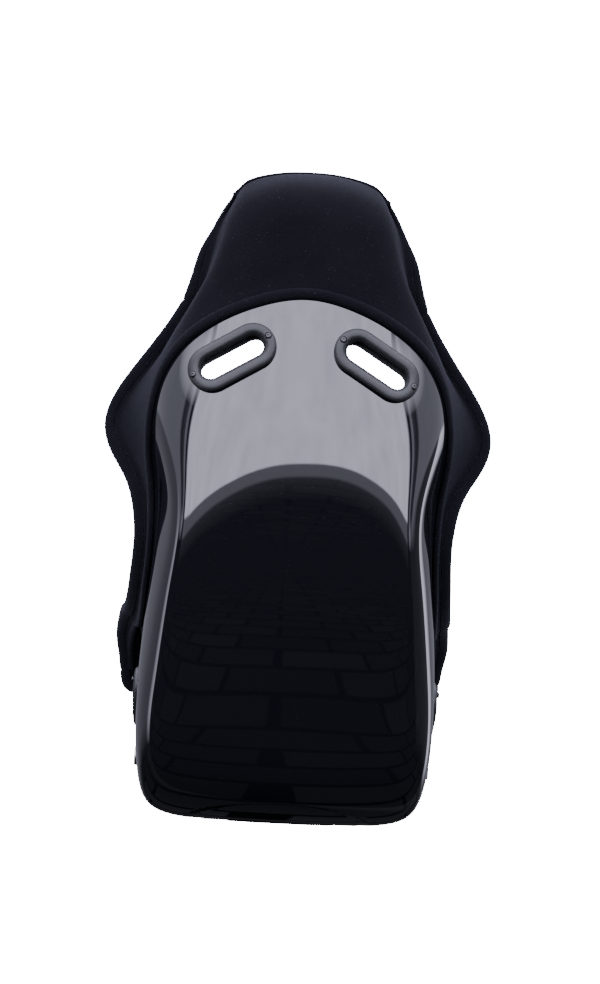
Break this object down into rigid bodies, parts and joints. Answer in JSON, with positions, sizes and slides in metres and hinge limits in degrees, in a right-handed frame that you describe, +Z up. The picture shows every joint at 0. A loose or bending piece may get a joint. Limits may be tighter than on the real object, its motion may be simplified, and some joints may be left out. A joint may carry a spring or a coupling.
{
  "type": "racing seat",
  "caption": "Fixed-back racing seat: gloss moulded shell with cloth-wrapped wings and head, harness slots with bezels, side-mount inserts and a lift-out cushion.",
  "frame": {"origin": "on the flat underside of the base, midway between the sides, under the front of the hip bend", "axes": "+Z up, the sitter faces -Y, +X is the sitter's left"},
  "size_m": [0.5446, 0.6016, 0.8966],
  "materials": {
    "gelcoat_black": "polished black gelcoat over glass-fibre laminate",
    "fabric_black": "black brushed-knit seat cloth on foam",
    "fabric_grey": "charcoal textured seat cloth on foam",
    "plastic_dark": "satin dark grey moulded plastic",
    "steel_black": "black-oxide steel",
    "steel_zinc": "zinc-plated steel",
    "hook_tape": "black hook-and-loop tape"
  },
  "bodies": {
    "seat": {"back_cover": "fabric_black", "base_pad": "fabric_black", "crotch_slot_bezel_inner": "plastic_dark", "crotch_slot_bezel_outer": "plastic_dark", "head_pad": "fabric_black", "hem_band": "fabric_black", "hook_strip_left": "hook_tape", "hook_strip_right": "hook_tape", "lap_screw_front_left": "steel_black", "lap_screw_front_right": "steel_black", "lap_screw_rear_left": "steel_black", "lap_screw_rear_right": "steel_black", "lap_slot_left_bezel_inner": "plastic_dark", "lap_slot_left_bezel_outer": "plastic_dark", "lap_slot_right_bezel_inner": "plastic_dark", "lap_slot_right_bezel_outer": "plastic_dark", "lumbar_pad": "fabric_grey", "mount_insert_front_left": "steel_zinc", "mount_insert_front_right": "steel_zinc", "mount_insert_rear_left": "steel_zinc", "mount_insert_rear_right": "steel_zinc", "rim_roll_front": "fabric_black", "rim_roll_head": "fabric_black", "rim_roll_left": "fabric_black", "rim_roll_right": "fabric_black", "shell": "gelcoat_black", "shoulder_pad_left": "fabric_black", "shoulder_pad_right": "fabric_black", "shoulder_screw_inner_left": "steel_black", "shoulder_screw_inner_right": "steel_black", "shoulder_screw_outer_left": "steel_black", "shoulder_screw_outer_right": "steel_black", "shoulder_slot_left_bezel_inner": "plastic_dark", "shoulder_slot_left_bezel_outer": "plastic_dark", "shoulder_slot_right_bezel_inner": "plastic_dark", "shoulder_slot_right_bezel_outer": "plastic_dark", "thigh_pad_left": "fabric_black", "thigh_pad_right": "fabric_black", "upper_back_pad": "fabric_grey", "waist_pad_left": "fabric_black", "waist_pad_right": "fabric_black"},
    "cushion": {"seat_cushion": "fabric_grey", "loop_strip_left": "hook_tape", "loop_strip_right": "hook_tape"}
  },
  "joints": [
    {"name": "cushion_lift", "type": "slide", "parent": "seat", "child": "cushion", "axis": [0, -0.3401, 0.9404], "range_m": [0, 0.45]}
  ]
}
